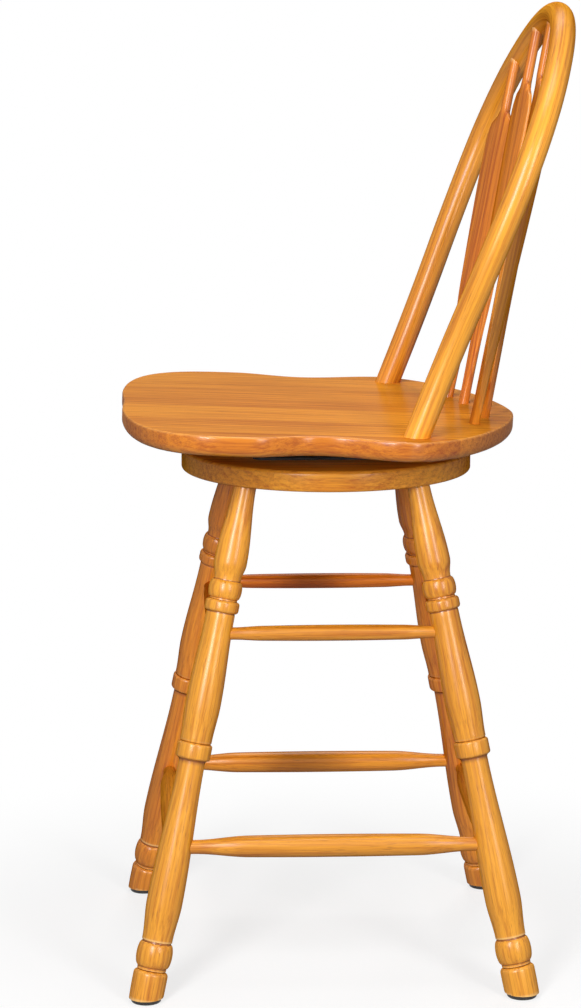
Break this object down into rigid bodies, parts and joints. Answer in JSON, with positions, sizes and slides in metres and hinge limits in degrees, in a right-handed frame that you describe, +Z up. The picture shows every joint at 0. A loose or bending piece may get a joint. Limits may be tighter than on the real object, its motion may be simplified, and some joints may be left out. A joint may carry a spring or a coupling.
{
  "type": "swivel bar stool",
  "caption": "Counter-height wooden swivel stool with a bent bow back, flat arrow spindles, a shaped seat on a ball-bearing swivel and splayed turned legs with stretchers.",
  "frame": {"origin": "on the swivel axis at the floor, in the middle of the four glides", "axes": "+Z up along the swivel axis, -Y the way a sitter faces, +X the sitter's left"},
  "size_m": [0.471, 0.4834, 1.0468],
  "materials": {
    "board_wood": "glossy lacquer over golden oak stain",
    "leg_wood": "glossy lacquer over golden oak stain",
    "stretcher_wood": "glossy lacquer over golden oak stain",
    "bow_wood": "glossy lacquer over golden oak stain",
    "spindle_wood": "glossy lacquer over golden oak stain",
    "glide_plastic": "matt moulded plastic",
    "plated_steel": "zinc plated pressed steel",
    "ball_steel": "polished steel balls",
    "cage_brass": "plain brass sheet"
  },
  "bodies": {
    "base": {"base_disc": "board_wood", "leg_front_left": "leg_wood", "leg_front_right": "leg_wood", "leg_back_left": "leg_wood", "leg_back_right": "leg_wood", "stretcher_front_lower": "stretcher_wood", "stretcher_back_lower": "stretcher_wood", "stretcher_left_lower": "stretcher_wood", "stretcher_right_lower": "stretcher_wood", "stretcher_front_upper": "stretcher_wood", "stretcher_back_upper": "stretcher_wood", "stretcher_left_upper": "stretcher_wood", "stretcher_right_upper": "stretcher_wood", "glide_front_left": "glide_plastic", "glide_front_right": "glide_plastic", "glide_back_left": "glide_plastic", "glide_back_right": "glide_plastic", "glide_nails": "plated_steel", "lower_swivel_plate": "plated_steel", "lower_plate_screws": "plated_steel"},
    "ball_ring": {"swivel_balls": "ball_steel", "ball_cage": "cage_brass"},
    "seat_top": {"seat": "board_wood", "upper_swivel_plate": "plated_steel", "upper_plate_screws": "plated_steel", "swivel_pin": "plated_steel", "back_bow": "bow_wood", "spindle_middle": "spindle_wood", "spindle_left_inner": "spindle_wood", "spindle_left_outer": "spindle_wood", "spindle_right_inner": "spindle_wood", "spindle_right_outer": "spindle_wood"}
  },
  "joints": [
    {"name": "seat_swivel", "type": "hinge", "parent": "base", "child": "seat_top", "pos_m": [0, 0, 0.574], "axis": [0, 0, 1], "continuous": true},
    {"name": "ball_ring_spin", "type": "hinge", "parent": "base", "child": "ball_ring", "pos_m": [0, 0, 0.574], "axis": [0, 0, 1], "continuous": true}
  ],
  "couplings": [
    {"joint": "ball_ring_spin", "follows": "seat_swivel", "ratio": 0.5}
  ]
}
